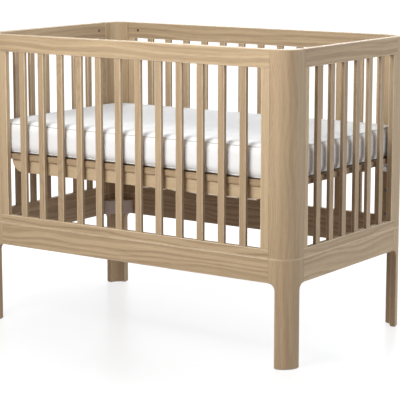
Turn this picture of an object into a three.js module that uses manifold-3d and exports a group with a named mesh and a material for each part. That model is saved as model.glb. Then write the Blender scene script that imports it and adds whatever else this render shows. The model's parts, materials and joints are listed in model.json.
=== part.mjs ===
// Baby crib in light oak: a slatted gallery on a plinth of boards and legs, with round corners,
// a mattress deck that bolts to the corner posts at a chosen height, and a loose mattress.
// Millimetres, +Z up, origin on the floor under the middle. X runs along the crib, the front is at -Y.
import * as THREE from "three";
import { mergeVertices } from "three/addons/utils/BufferGeometryUtils.js";
import Module from "manifold-3d";

const wasm = await Module();
wasm.setup();

// ---- Overall ----
const LENGTH = 1256;
const WIDTH = 752;
const HEIGHT = 1004;
const TOUCH_GAP = 0.3; // left between any two pieces that meet

// ---- Corners: quarter-round posts over quarter-round legs ----
const CORNER_RADIUS = 58; // outside radius; the leg is this quarter circle and nothing more
const CORNER_WALL = 22;
const POST_FLAT = 22.5; // flat wing of a post past each end of its round corner
const CORNER_SEGMENTS = 12;

// ---- Plinth ----
const SEAM_HEIGHT = 351; // the joint between plinth and gallery
const BASE_BOARD_HEIGHT = 78;
const BOARD_THICKNESS = 19;

// ---- Gallery panels ----
const TOP_RAIL_HEIGHT = 59;
const BOTTOM_RAIL_HEIGHT = 29;
const RAIL_THICKNESS = 19;
const LONG_STILE_WIDTH = 30.5;
const END_STILE_WIDTH = 22.5;

// ---- Slats ----
const LONG_SLAT_COUNT = 12;
const END_SLAT_COUNT = 6;
const SLAT_WIDTH = 25;
const SLAT_DEPTH = 14;
const SLAT_EDGE_RADIUS = 3;
const SLAT_EDGE_SEGMENTS = 1;
const SLAT_SEAT = 10; // how deep each slat end sits in its rail
const SLAT_FIT = 0.3; // clearance all round in the socket

// ---- Mattress deck, shown at its highest setting ----
const DECK_TOP = 592;
const DECK_THICKNESS = 19;
const DECK_CLEARANCE = 3; // to the inside of the posts, all round
const INNER_CORNER_RADIUS = 40; // plan corners of deck and mattress, inside the round posts
const DECK_CURVE_SEGMENTS = 3;
const VENT_LENGTH = 120;
const VENT_WIDTH = 24;
const VENT_COLUMNS = 6;
const VENT_ROWS = 3;
const VENT_MARGIN = 70; // solid edge of the deck round the field of slots

// ---- Aprons that stiffen the deck ----
const APRON_HEIGHT = 45;
const APRON_THICKNESS = 18;
const APRON_INSET = 6; // set back from the deck's long edge
const APRON_END_INSET = 81; // set back from the deck's short edge

// ---- Mattress ----
const MATTRESS_HEIGHT = 110;
const MATTRESS_SIDE_CLEARANCE = 4;
const MATTRESS_END_CLEARANCE = 6;
const MATTRESS_EDGE_RADIUS = 22;

// ---- Moulded corner blocks that tie legs to base boards ----
const BLOCK_HEIGHT = 52;
const BLOCK_RAISE = 2; // above the lower edge of the base boards
const BLOCK_REACH = 97; // along each board, from the outside of the crib
const BLOCK_END_DEPTH = 19; // how far the ends stand off the leg's wings
const BLOCK_END_SLOPE = 7; // the ends lean in by this much
const BLOCK_SHELL = 5;

// ---- Worked out from the sizes above ----
const POST_SPAN = CORNER_RADIUS + POST_FLAT;
const GALLERY_BOTTOM = SEAM_HEIGHT + TOUCH_GAP;
const BASE_BOARD_BOTTOM = SEAM_HEIGHT - BASE_BOARD_HEIGHT;
const WINDOW_BOTTOM = GALLERY_BOTTOM + BOTTOM_RAIL_HEIGHT;
const WINDOW_TOP = HEIGHT - TOP_RAIL_HEIGHT;
const INNER_LENGTH = LENGTH - 2 * CORNER_WALL;
const INNER_WIDTH = WIDTH - 2 * CORNER_WALL;
const DECK_LENGTH = INNER_LENGTH - 2 * DECK_CLEARANCE;
const DECK_WIDTH = INNER_WIDTH - 2 * DECK_CLEARANCE;
const CUT_MARGIN = 5; // how far a cutter runs past what it cuts

// ---- Finishes ----
const OAK = { color: 0xc7ae8a, roughness: 0.62, metalness: 0 };
const OAK_SHADE = { color: 0xb39a7a, roughness: 0.62, metalness: 0 };
const BIRCH_PLY = { color: 0xb9a284, roughness: 0.7, metalness: 0 };
const GREY_PLASTIC = { color: 0x8a8683, roughness: 0.5, metalness: 0 };
const WHITE_FABRIC = { color: 0xf1f0ee, roughness: 0.95, metalness: 0 };

// ---- Solids ----

function solidOf(geometry) {
  const bare = geometry.index ? geometry.toNonIndexed() : geometry.clone();
  bare.deleteAttribute("normal");
  bare.deleteAttribute("uv");
  const merged = mergeVertices(bare, 1e-4);
  return new wasm.Manifold(
    new wasm.Mesh({
      numProp: 3,
      vertProperties: new Float32Array(merged.attributes.position.array),
      triVerts: new Uint32Array(merged.index.array),
    }),
  );
}

function geometryOf(solid) {
  const mesh = solid.getMesh();
  const geometry = new THREE.BufferGeometry();
  geometry.setAttribute("position", new THREE.BufferAttribute(new Float32Array(mesh.vertProperties), 3));
  geometry.setIndex(new THREE.BufferAttribute(new Uint32Array(mesh.triVerts), 1));
  geometry.computeVertexNormals();
  return geometry;
}

function piece(name, geometry, finish) {
  const mesh = new THREE.Mesh(geometry, new THREE.MeshStandardMaterial(finish));
  mesh.name = name;
  return mesh;
}

// A prism that stands on the XY plane.
function upright(shape, height, curveSegments = 4) {
  return new THREE.ExtrudeGeometry(shape, { depth: height, bevelEnabled: false, curveSegments });
}

// A prism whose outline lies in the XZ plane, from y = 0 to y = thickness.
function facing(shape, thickness, curveSegments = 4) {
  return upright(shape, thickness, curveSegments).rotateX(Math.PI / 2).translate(0, thickness, 0);
}

function rectangle(x0, y0, x1, y1) {
  return new THREE.Shape([
    new THREE.Vector2(x0, y0),
    new THREE.Vector2(x1, y0),
    new THREE.Vector2(x1, y1),
    new THREE.Vector2(x0, y1),
  ]);
}

// A rectangle about a centre, with round corners; it can be a Shape or the Path of a hole.
function roundedRectangle(width, height, radius, cx = 0, cy = 0, Outline = THREE.Shape) {
  const x = width / 2 - radius;
  const y = height / 2 - radius;
  const outline = new Outline();
  outline.absarc(cx + x, cy + y, radius, 0, Math.PI / 2);
  outline.absarc(cx - x, cy + y, radius, Math.PI / 2, Math.PI);
  outline.absarc(cx - x, cy - y, radius, Math.PI, 1.5 * Math.PI);
  outline.absarc(cx + x, cy - y, radius, 1.5 * Math.PI, 2 * Math.PI);
  outline.closePath();
  return outline;
}

// ---- Corner pieces, each drawn with the crib's outer corner at its origin and the inside at +X +Y ----

// A quarter-round shell with a flat wing on each side.
function cornerOutline() {
  const inner = CORNER_RADIUS - CORNER_WALL;
  const outline = new THREE.Shape();
  outline.moveTo(POST_SPAN, 0);
  outline.lineTo(POST_SPAN, CORNER_WALL);
  outline.lineTo(CORNER_RADIUS, CORNER_WALL);
  outline.absarc(CORNER_RADIUS, CORNER_RADIUS, inner, 1.5 * Math.PI, Math.PI, true);
  outline.lineTo(CORNER_WALL, POST_SPAN);
  outline.lineTo(0, POST_SPAN);
  outline.lineTo(0, CORNER_RADIUS);
  outline.absarc(CORNER_RADIUS, CORNER_RADIUS, CORNER_RADIUS, Math.PI, 1.5 * Math.PI, false);
  outline.closePath();
  return outline;
}

function postGeometry() {
  return upright(cornerOutline(), HEIGHT - GALLERY_BOTTOM, CORNER_SEGMENTS).translate(0, 0, GALLERY_BOTTOM);
}

// What is cut from under a wing: all of it below the base board, with a fillet as wide as the wing.
function wingCutOutline() {
  const outline = new THREE.Shape();
  outline.moveTo(CORNER_RADIUS, -CUT_MARGIN);
  outline.lineTo(POST_SPAN + CUT_MARGIN, -CUT_MARGIN);
  outline.lineTo(POST_SPAN + CUT_MARGIN, BASE_BOARD_BOTTOM);
  outline.lineTo(POST_SPAN, BASE_BOARD_BOTTOM);
  outline.absarc(POST_SPAN, BASE_BOARD_BOTTOM - POST_FLAT, POST_FLAT, Math.PI / 2, Math.PI, false);
  outline.closePath();
  return outline;
}

function legGeometry() {
  const depth = CORNER_WALL + 2 * CUT_MARGIN;
  const alongX = facing(wingCutOutline(), depth, CORNER_SEGMENTS).translate(0, -CUT_MARGIN, 0);
  const alongY = facing(wingCutOutline(), depth, CORNER_SEGMENTS)
    .translate(0, CUT_MARGIN - depth, 0)
    .rotateZ(Math.PI / 2);
  const whole = solidOf(upright(cornerOutline(), SEAM_HEIGHT, CORNER_SEGMENTS));
  return geometryOf(whole.subtract(solidOf(alongX)).subtract(solidOf(alongY)));
}

// The block fills the inside of the leg's corner and reaches along both boards; it is hollow from below.
function cornerBlockGeometry() {
  const onLeg = CORNER_WALL + TOUCH_GAP;
  const onBoard = BOARD_THICKNESS + TOUCH_GAP;
  const pastLeg = POST_SPAN + TOUCH_GAP;
  const endOut = onLeg + BLOCK_END_DEPTH;
  const endIn = BLOCK_REACH - BLOCK_END_SLOPE;
  const outline = new THREE.Shape();
  outline.moveTo(CORNER_RADIUS, onLeg);
  outline.lineTo(pastLeg, onLeg);
  outline.lineTo(pastLeg, onBoard);
  outline.lineTo(BLOCK_REACH, onBoard);
  outline.lineTo(endIn, endOut);
  outline.lineTo(endOut, endIn);
  outline.lineTo(onBoard, BLOCK_REACH);
  outline.lineTo(onBoard, pastLeg);
  outline.lineTo(onLeg, pastLeg);
  outline.lineTo(onLeg, CORNER_RADIUS);
  outline.absarc(CORNER_RADIUS, CORNER_RADIUS, CORNER_RADIUS - onLeg, Math.PI, 1.5 * Math.PI, false);
  outline.closePath();

  const near = onLeg + BLOCK_SHELL;
  const far = endIn - BLOCK_SHELL;
  const front = endOut - BLOCK_SHELL;
  const pocket = new THREE.Shape([
    new THREE.Vector2(CORNER_RADIUS, near),
    new THREE.Vector2(far, near),
    new THREE.Vector2(far, front),
    new THREE.Vector2(front, far),
    new THREE.Vector2(near, far),
    new THREE.Vector2(near, CORNER_RADIUS),
  ]);
  const block = solidOf(upright(outline, BLOCK_HEIGHT, CORNER_SEGMENTS));
  const hollow = solidOf(upright(pocket, BLOCK_HEIGHT).translate(0, 0, -BLOCK_SHELL));
  return geometryOf(block.subtract(hollow)).translate(0, 0, BASE_BOARD_BOTTOM + BLOCK_RAISE);
}

// The four corners in turn: which way each is from the middle, and the turn that points its inside inwards.
const CORNERS = [
  { name: "front_left", x: -1, y: -1, turn: 0 },
  { name: "front_right", x: 1, y: -1, turn: Math.PI / 2 },
  { name: "back_right", x: 1, y: 1, turn: Math.PI },
  { name: "back_left", x: -1, y: 1, turn: -Math.PI / 2 },
];

function cornerGroup(corner) {
  const group = new THREE.Group();
  group.add(piece("post_" + corner.name, postGeometry(), OAK));
  group.add(piece("leg_" + corner.name, legGeometry(), OAK_SHADE));
  group.add(piece("corner_block_" + corner.name, cornerBlockGeometry(), GREY_PLASTIC));
  group.position.set((corner.x * LENGTH) / 2, (corner.y * WIDTH) / 2, 0);
  group.rotation.z = corner.turn;
  return group;
}

// ---- Sides, each drawn centred on X with its outer face at y = 0 and the inside at +Y ----

// Middle of each slat along its panel: the slats share out the window in equal gaps.
function slatCentres(windowWidth, count) {
  const gap = (windowWidth - count * SLAT_WIDTH) / (count + 1);
  const pitch = gap + SLAT_WIDTH;
  return Array.from({ length: count }, (_, i) => (i - (count - 1) / 2) * pitch);
}

// A slat's cross-section, or with a clearance the section of the socket that takes it.
function slatPrism(centre, clearance) {
  const section = roundedRectangle(
    SLAT_WIDTH + 2 * clearance,
    SLAT_DEPTH + 2 * clearance,
    SLAT_EDGE_RADIUS + clearance,
    centre,
    RAIL_THICKNESS / 2,
  );
  const bottom = WINDOW_BOTTOM - SLAT_SEAT - clearance;
  const top = WINDOW_TOP + SLAT_SEAT + clearance;
  return upright(section, top - bottom, SLAT_EDGE_SEGMENTS).translate(0, 0, bottom);
}

// Top rail, bottom rail and two stiles glued up as one frame, with a socket for each slat end.
function panelFrameGeometry(halfLength, windowWidth, centres) {
  const outline = rectangle(-halfLength, GALLERY_BOTTOM, halfLength, HEIGHT);
  outline.holes.push(rectangle(-windowWidth / 2, WINDOW_BOTTOM, windowWidth / 2, WINDOW_TOP));
  const frame = solidOf(facing(outline, RAIL_THICKNESS));
  const socketed = centres.reduce((rest, x) => rest.subtract(solidOf(slatPrism(x, SLAT_FIT))), frame);
  return geometryOf(socketed);
}

function baseBoardGeometry(halfLength) {
  const face = rectangle(-halfLength, BASE_BOARD_BOTTOM, halfLength, SEAM_HEIGHT);
  return facing(face, BOARD_THICKNESS);
}

const SIDES = [
  { name: "front", span: LENGTH, out: WIDTH, stile: LONG_STILE_WIDTH, count: LONG_SLAT_COUNT, turn: 0 },
  { name: "right", span: WIDTH, out: LENGTH, stile: END_STILE_WIDTH, count: END_SLAT_COUNT, turn: Math.PI / 2 },
  { name: "back", span: LENGTH, out: WIDTH, stile: LONG_STILE_WIDTH, count: LONG_SLAT_COUNT, turn: Math.PI },
  { name: "left", span: WIDTH, out: LENGTH, stile: END_STILE_WIDTH, count: END_SLAT_COUNT, turn: -Math.PI / 2 },
];

function sideGroup(side) {
  const halfLength = side.span / 2 - POST_SPAN - TOUCH_GAP;
  const windowWidth = side.span - 2 * POST_SPAN - 2 * side.stile;
  const centres = slatCentres(windowWidth, side.count);
  const group = new THREE.Group();
  group.add(piece("panel_frame_" + side.name, panelFrameGeometry(halfLength, windowWidth, centres), OAK));
  group.add(piece("base_board_" + side.name, baseBoardGeometry(halfLength), OAK));
  centres.forEach((x, i) => {
    const number = String(i + 1).padStart(2, "0");
    group.add(piece("slat_" + side.name + "_" + number, slatPrism(x, 0), OAK_SHADE));
  });
  group.rotation.z = side.turn;
  group.position.set((Math.sin(side.turn) * side.out) / 2, (-Math.cos(side.turn) * side.out) / 2, 0);
  return group;
}

// ---- Mattress deck with its aprons, and the mattress ----

function deckGeometry() {
  const outline = roundedRectangle(DECK_LENGTH, DECK_WIDTH, INNER_CORNER_RADIUS);
  const fieldLength = DECK_LENGTH - 2 * VENT_MARGIN - VENT_LENGTH;
  const fieldWidth = DECK_WIDTH - 2 * VENT_MARGIN - VENT_WIDTH;
  for (let column = 0; column < VENT_COLUMNS; column++) {
    for (let row = 0; row < VENT_ROWS; row++) {
      const x = (column / (VENT_COLUMNS - 1) - 0.5) * fieldLength;
      const y = (row / (VENT_ROWS - 1) - 0.5) * fieldWidth;
      outline.holes.push(roundedRectangle(VENT_LENGTH, VENT_WIDTH, VENT_WIDTH / 2, x, y, THREE.Path));
    }
  }
  return upright(outline, DECK_THICKNESS, DECK_CURVE_SEGMENTS).translate(0, 0, DECK_TOP - DECK_THICKNESS);
}

// A board on edge under the deck, its two lower corners rounded over its whole height.
function apronGeometry() {
  const half = DECK_LENGTH / 2 - APRON_END_INSET;
  const top = DECK_TOP - DECK_THICKNESS - TOUCH_GAP;
  const turn = half - APRON_HEIGHT;
  const outline = new THREE.Shape();
  outline.moveTo(half, top);
  outline.lineTo(-half, top);
  outline.absarc(-turn, top, APRON_HEIGHT, Math.PI, 1.5 * Math.PI, false);
  outline.absarc(turn, top, APRON_HEIGHT, 1.5 * Math.PI, 2 * Math.PI, false);
  outline.closePath();
  return facing(outline, APRON_THICKNESS, CORNER_SEGMENTS);
}

function mattressGeometry() {
  const r = MATTRESS_EDGE_RADIUS;
  const outline = roundedRectangle(
    INNER_LENGTH - 2 * MATTRESS_END_CLEARANCE,
    INNER_WIDTH - 2 * MATTRESS_SIDE_CLEARANCE,
    INNER_CORNER_RADIUS,
  );
  const geometry = new THREE.ExtrudeGeometry(outline, {
    depth: MATTRESS_HEIGHT - 2 * r,
    bevelThickness: r,
    bevelSize: r,
    bevelOffset: -r,
    bevelSegments: 3,
    curveSegments: 5,
  });
  return geometry.translate(0, 0, DECK_TOP + TOUCH_GAP + r);
}

function bedGroup() {
  const group = new THREE.Group();
  const apronFace = DECK_WIDTH / 2 - APRON_INSET;
  const front = piece("deck_apron_front", apronGeometry(), OAK);
  const back = piece("deck_apron_back", apronGeometry(), OAK);
  front.position.y = -apronFace;
  back.position.y = apronFace - APRON_THICKNESS;
  group.add(piece("mattress_deck", deckGeometry(), BIRCH_PLY));
  group.add(front, back);
  group.add(piece("mattress", mattressGeometry(), WHITE_FABRIC));
  return group;
}

const crib = new THREE.Group();
CORNERS.forEach((corner) => crib.add(cornerGroup(corner)));
SIDES.forEach((side) => crib.add(sideGroup(side)));
crib.add(bedGroup());

export default crib;
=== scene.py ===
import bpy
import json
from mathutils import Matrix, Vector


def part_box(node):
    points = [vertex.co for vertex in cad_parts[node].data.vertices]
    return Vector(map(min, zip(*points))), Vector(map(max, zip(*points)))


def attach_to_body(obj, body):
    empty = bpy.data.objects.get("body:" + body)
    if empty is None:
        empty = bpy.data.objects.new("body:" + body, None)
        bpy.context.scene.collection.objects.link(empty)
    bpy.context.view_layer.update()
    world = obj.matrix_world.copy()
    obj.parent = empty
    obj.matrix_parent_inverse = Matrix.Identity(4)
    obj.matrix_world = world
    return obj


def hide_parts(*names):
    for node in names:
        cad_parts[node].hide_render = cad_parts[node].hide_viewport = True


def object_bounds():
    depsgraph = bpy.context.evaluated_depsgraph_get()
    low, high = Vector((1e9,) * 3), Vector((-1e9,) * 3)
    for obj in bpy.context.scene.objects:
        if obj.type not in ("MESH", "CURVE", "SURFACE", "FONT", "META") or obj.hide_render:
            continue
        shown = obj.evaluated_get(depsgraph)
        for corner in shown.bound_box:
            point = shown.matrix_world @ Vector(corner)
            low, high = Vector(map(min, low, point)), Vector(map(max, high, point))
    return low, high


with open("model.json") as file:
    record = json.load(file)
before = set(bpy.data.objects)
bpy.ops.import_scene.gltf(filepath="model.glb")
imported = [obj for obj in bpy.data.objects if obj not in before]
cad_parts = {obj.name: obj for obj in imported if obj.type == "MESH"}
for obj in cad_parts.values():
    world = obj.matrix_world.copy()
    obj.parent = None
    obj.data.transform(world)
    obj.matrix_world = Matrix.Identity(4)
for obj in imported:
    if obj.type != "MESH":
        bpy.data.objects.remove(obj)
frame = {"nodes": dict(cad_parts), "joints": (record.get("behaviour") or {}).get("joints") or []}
cad_box = [[float(value) for value in corner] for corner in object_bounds()]

# %% [markdown]
# # A baby crib in light oak
# The crib is a slatted gallery on a plinth of boards and quarter-round legs. Its four corners are large
# rounds, a deck is bolted between the corner posts, and a loose mattress lies on it.
#
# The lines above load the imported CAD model. It is the fixed frame of this scene: it says where every piece
# is and how it moves. The cells below read their sizes from it, draw the finished surface of each piece in
# its place, and tell each piece which body it rides on.

# %% Sizes read from the frame
import json
import math

import bpy
import numpy as np


def low(node):
    """The lowest corner of a CAD node's box."""
    return np.array(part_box(node)[0], float)


def high(node):
    """The highest corner of a CAD node's box."""
    return np.array(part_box(node)[1], float)


LENGTH, WIDTH, HEIGHT = np.array(cad_box[1]) - np.array(cad_box[0])
POST_SPAN = high("post_front_left")[0] - low("post_front_left")[0]
SEAM_TOP = low("post_front_left")[2]
SEAM_BOTTOM = high("leg_front_left")[2]
BOARD_BOTTOM = low("base_board_front")[2]
THICKNESS = high("base_board_front")[1] - low("base_board_front")[1]
print(f"crib {LENGTH:.3f} x {WIDTH:.3f} x {HEIGHT:.3f} m, posts {POST_SPAN:.4f} m wide")

# %% Sizes that a box does not give
CORNER_RADIUS = 0.058  # outside of the round corners, in plan
CORNER_WALL = 0.022
SLAT_SEAT = 0.010  # how deep the CAD seats each slat end in its rail
STILE_WIDTH = {"front": 0.0305, "back": 0.0305, "left": 0.0225, "right": 0.0225}
JOINT_GAP = 0.00015  # left between pieces that are glued together, so that the joint shows as a fine line
BUTT_EDGE = 0.0006  # edge radius where pieces are butted together
SANDED_EDGE = 0.0022  # edge radius where a hand can reach
SEAM_EDGE = 0.0022  # edge radius on top of the plinth, which catches the light along the seam

WINDOW_BOTTOM = low("slat_front_01")[2] + SLAT_SEAT
WINDOW_TOP = high("slat_front_01")[2] - SLAT_SEAT
POST_FLAT = POST_SPAN - CORNER_RADIUS
HALF_ARC = CORNER_RADIUS * math.pi / 4  # from the middle of a round corner to where its flat wing starts
print(f"window from {WINDOW_BOTTOM:.4f} to {WINDOW_TOP:.4f} m above the floor")

# %% [markdown]
# ## Camera
# A long lens from some way off keeps uprights nearly parallel. The camera stands towards the right front
# corner and a little above the crib, and isn't rolled, so the posts stay upright. Its place is worked out
# from two angles and a distance, which are easier to adjust than three coordinates. So are the lamps'.

# %% Camera
AZIMUTH = math.radians(34.7)
ELEVATION = math.radians(9.89)
LENS_MM = 151.1
SENSOR_MM = 36
AIM_HEIGHT = 0.4396
DISTANCE = 5.819
SIDESTEP = 0.02386
DROP = 0.01005
FARTHEST_SEEN = 200


def way_out(azimuth, elevation):
    """The way out from the crib at two angles: (sin a cos e, -cos a cos e, sin e). Azimuth 0 is straight in
    front, and turns towards +X."""
    level = math.cos(elevation)
    return np.array([math.sin(azimuth) * level, -math.cos(azimuth) * level, math.sin(elevation)])


def set_up(name, data, spot, azimuth, elevation):
    """Puts a camera or a lamp at a spot, looking back along the way out."""
    thing = bpy.data.objects.new(name, data)
    thing.location = spot
    thing.rotation_euler = (math.pi / 2 - elevation, 0, azimuth)
    bpy.context.scene.collection.objects.link(thing)
    return thing


backward = way_out(AZIMUTH, ELEVATION)
rightward = np.array([math.cos(AZIMUTH), math.sin(AZIMUTH), 0.0])
upward = np.cross(backward, rightward)
lens = bpy.data.cameras.new("Studio camera")
lens.lens = LENS_MM
lens.sensor_width = SENSOR_MM
lens.clip_end = FARTHEST_SEEN
spot = (0, 0, AIM_HEIGHT) + backward * DISTANCE + rightward * SIDESTEP - upward * DROP
camera = set_up("Studio camera", lens, spot, AZIMUTH, ELEVATION)
bpy.context.scene.camera = camera
print("camera at", [round(value, 3) for value in camera.location])

# %% [markdown]
# ## Light
# A studio lights pale furniture with large soft lamps, and its pale walls send some light back from
# everywhere. Here a key lamp stands high up and rather near, in front of the right-hand corner post, so that
# the top rail is brighter than the plinth and the right end of the front brighter than the left. It also
# reaches through the slats, and each slat throws only a narrow shadow on the mattress. A cooler lamp fills
# the right-hand end, so the round corner post between them is bright in front, darkest at its middle and a
# little paler at the side. A lamp behind the crib, hidden from the camera, draws a thin bright line along
# the rails' upper edges.

# %% Lamps
MIDDLE = np.array([0.0, 0.0, 0.55])
RIGHT_POST = np.array([0.45, -0.30, 0.60])
# azimuth and elevation in degrees, distance and size in metres, power in watts, colour, what it looks at
LAMPS = {
    "Key lamp": (-11, 36, 2.3, 1.2, 62, (0.98, 0.985, 0.955), RIGHT_POST),
    "Side lamp": (112, 24, 3.6, 3.0, 74, (0.86, 0.94, 1.0), MIDDLE),
    "Back lamp": (208, 34, 5.0, 2.4, 170, (1.0, 1.0, 1.0), MIDDLE),
}

for name, (azimuth, elevation, distance, size, power, color, aim) in LAMPS.items():
    azimuth, elevation = math.radians(azimuth), math.radians(elevation)
    light = bpy.data.lights.new(name, "AREA")
    light.energy = power
    light.size = size
    light.color = color
    lamp = set_up(name, light, aim + way_out(azimuth, elevation) * distance, azimuth, elevation)
    if name == "Back lamp":
        lamp.visible_camera = False
print(len(LAMPS), "lamps")

# %% [markdown]
# ## Helpers for shader nodes
# A node tree written out in Python is hard to read, because each node needs several lines. These helpers
# make one node a line: a node's settings, then its inputs, which are numbers or other nodes' outputs. A
# socket knows the tree it is in, so most helpers take only sockets and numbers.

# %% Node helpers


def set_inputs(sockets, values):
    """Gives each named or numbered socket a plain value, or links it to another node's output."""
    for name, value in values.items():
        if isinstance(value, bpy.types.NodeSocket):
            value.id_data.links.new(value, sockets[name])
        else:
            sockets[name].default_value = value


def add_node(tree, kind, inputs=None, **settings):
    """One shader node with its settings and inputs."""
    node = tree.nodes.new("ShaderNode" + kind)
    for name, value in settings.items():
        setattr(node, name, value)
    set_inputs(node.inputs, inputs or {})
    return node


def calculate(operation, *values):
    """The output of one Math node, in the tree of the first value that is a socket."""
    tree = next(value.id_data for value in values if isinstance(value, bpy.types.NodeSocket))
    return add_node(tree, "Math", dict(enumerate(values)), operation=operation).outputs[0]


def weighted_sum(start, *pairs):
    """A start value plus each value times its weight."""
    for value, weight in pairs:
        start = calculate("MULTIPLY_ADD", value, weight, start)
    return start


def stretch(vector, scale):
    """A vector with each part multiplied by its own scale."""
    return add_node(vector.id_data, "VectorMath", {0: vector, 1: scale}, operation="MULTIPLY").outputs[0]


def soft_noise(vector, scale, detail=2.0, roughness=0.5):
    """Noise from 0 to 1 that changes smoothly with place."""
    values = {"Vector": vector, "Scale": scale, "Detail": detail, "Roughness": roughness}
    return add_node(vector.id_data, "TexNoise", values).outputs["Fac"]


def ramp(value, start, end, low_value=0.0, high_value=1.0):
    """A value that goes smoothly from low_value at start to high_value at end."""
    values = {"Value": value, "From Min": start, "From Max": end, "To Min": low_value, "To Max": high_value}
    return add_node(value.id_data, "MapRange", values, interpolation_type="SMOOTHSTEP").outputs[0]


def blend_colors(amount, first, second):
    """The first colour at amount 0, the second at 1. A Mix node's colours are its sockets 6 and 7."""
    return add_node(amount.id_data, "Mix", {0: amount, 6: first, 7: second}, data_type="RGBA").outputs[2]


def bump(height, strength, distance):
    """The normal of a surface that a height from 0 to 1 raises by up to a distance."""
    values = {"Height": height, "Strength": strength, "Distance": distance}
    return add_node(height.id_data, "Bump", values).outputs["Normal"]


print("node helpers ready")

# %% [markdown]
# ## Walls
# The walls are a world that is brighter above than below, and warmer below. Seen directly, they are plain
# white. The view transform is Standard, so that a white floor comes out white.

# %% Walls
WALLS_ABOVE = (0.40, 0.40, 0.40, 1)
WALLS_BELOW = (0.37, 0.285, 0.24, 1)
WALLS_SEEN = (1, 1, 1, 1)
HORIZON_BLUR = 0.3

walls = bpy.data.worlds.new("Pale studio walls")
walls.use_nodes = True
tree = walls.node_tree
direction = add_node(tree, "TexCoord").outputs["Generated"]
values = {"Value": add_node(tree, "SeparateXYZ", {0: direction}).outputs["Z"], "From Min": -HORIZON_BLUR,
          "From Max": HORIZON_BLUR}
wall_color = blend_colors(add_node(tree, "MapRange", values).outputs[0], WALLS_BELOW, WALLS_ABOVE)
is_seen = add_node(tree, "LightPath").outputs["Is Camera Ray"]
set_inputs(tree.nodes["Background"].inputs, {"Color": blend_colors(is_seen, wall_color, WALLS_SEEN)})
bpy.context.scene.world = walls
bpy.context.scene.view_settings.view_transform = "Standard"
print("walls", WALLS_BELOW[:3], "to", WALLS_ABOVE[:3])

# %% Helpers for groups and materials


def new_group(name, inputs, outputs):
    """An empty node group. inputs maps a title to a default number, or to None for a vector; outputs maps a
    title to its kind. Gives the tree, the sockets to read from and the sockets to feed."""
    tree = bpy.data.node_groups.new(name, "ShaderNodeTree")
    for title, default in inputs.items():
        kind = "Vector" if default is None else "Float"
        socket = tree.interface.new_socket(title, in_out="INPUT", socket_type="NodeSocket" + kind)
        if default is not None:
            socket.default_value = default
    for title, kind in outputs.items():
        tree.interface.new_socket(title, in_out="OUTPUT", socket_type="NodeSocket" + kind)
    return tree, tree.nodes.new("NodeGroupInput").outputs, tree.nodes.new("NodeGroupOutput").inputs


def use_group(tree, group, inputs):
    """The outputs of a group that is placed in a tree."""
    return add_node(tree, "Group", inputs, node_tree=group).outputs


def new_material(name):
    """A material, its node tree and the sockets of its Principled BSDF."""
    material = bpy.data.materials.new(name)
    material.use_nodes = True
    tree = material.node_tree
    return material, tree, tree.nodes["Principled BSDF"].inputs


def object_spot(tree):
    """Each point's place in the crib's frame."""
    return add_node(tree, "TexCoord").outputs["Object"]


print("group and material helpers ready")

# %% [markdown]
# ## Oak grain
# Oak has growth rings a few millimetres apart, each starting with a band of open pores. A board cut flat
# across the rings shows them as arches, one cut towards the heart shows straight lines. A picture of wood
# could be wrapped round the piece, but the arches would not carry over the edges. So the rings are worked
# out in the solid: the distance from the tree's heart, which wanders slowly along the grain, divided by the
# width of a ring. Long faces, edges and end grain then agree with each other.
#
# The group reads a vector called Grain: metres along the grain, across it, and into the piece. Tone darkens
# the whole piece, and Figure says how strongly wetter and drier years show.

# %% Oak grain group
LIGHT_OAK = (0.500, 0.378, 0.240, 1)
DEEP_OAK = (0.262, 0.178, 0.104, 1)
PORE_BROWN = (0.130, 0.076, 0.040, 1)
RAY_CREAM = (0.560, 0.430, 0.290, 1)
SIDE_WANDER = 0.05  # metres
DEEP_WANDER = 0.16
RING_WOBBLE = 0.5  # rings
YEARS_WOBBLE = 2.2
YEARS_SCALE = 0.30
EARLY_END = 0.32  # share of a ring
LATE_YEARS = (0.40, 0.64)  # where each noise starts to show, and where it shows fully
OPEN_PORES = (0.55, 0.68)
RAY_FLECKS = (0.66, 0.74)
# stretch along the grain, across it and into the piece; scale, detail and roughness
GRAIN_NOISES = {
    "wander deep": ((1.0, 2.0, 2.0), 2.2, 1.5, 0.5),
    "wander side": ((0.7, 1.0, 1.0), 2.7, 1.0, 0.5),
    "wobble": ((9.0, 90.0, 90.0), 1.0, 2.0, 0.5),
    "pores": ((26.0, 1150.0, 1150.0), 1.0, 2.0, 0.5),
    "streaks": ((2.4, 70.0, 70.0), 1.0, 3.0, 0.62),
    "clouds": ((1.5, 9.0, 9.0), 1.0, 1.5, 0.5),
    "flecks": ((60.0, 520.0, 520.0), 1.0, 1.0, 0.5),
}

oak_grain, oak_in, oak_out = new_group(
    "Oak grain", {"Grain": None, "Tone": 0.5, "Ring Width": 0.0042, "Heart Depth": 0.07, "Figure": 0.4},
    {"Color": "Color", "Roughness": "Float", "Height": "Float"})
noise = {name: soft_noise(stretch(oak_in["Grain"], way), *settings)
         for name, (way, *settings) in GRAIN_NOISES.items()}

# The heart of the tree wanders slowly up and down and from side to side along the grain.
apart = add_node(oak_grain, "SeparateXYZ", {0: oak_in["Grain"]}).outputs
side_way = weighted_sum(apart["Y"], (noise["wander side"], SIDE_WANDER))
deep_way = weighted_sum(apart["Z"], (noise["wander deep"], DEEP_WANDER))
deep_way = calculate("ADD", deep_way, oak_in["Heart Depth"])
side_square = calculate("MULTIPLY", side_way, side_way)
heart_distance = calculate("SQRT", weighted_sum(side_square, (deep_way, deep_way)))

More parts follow.
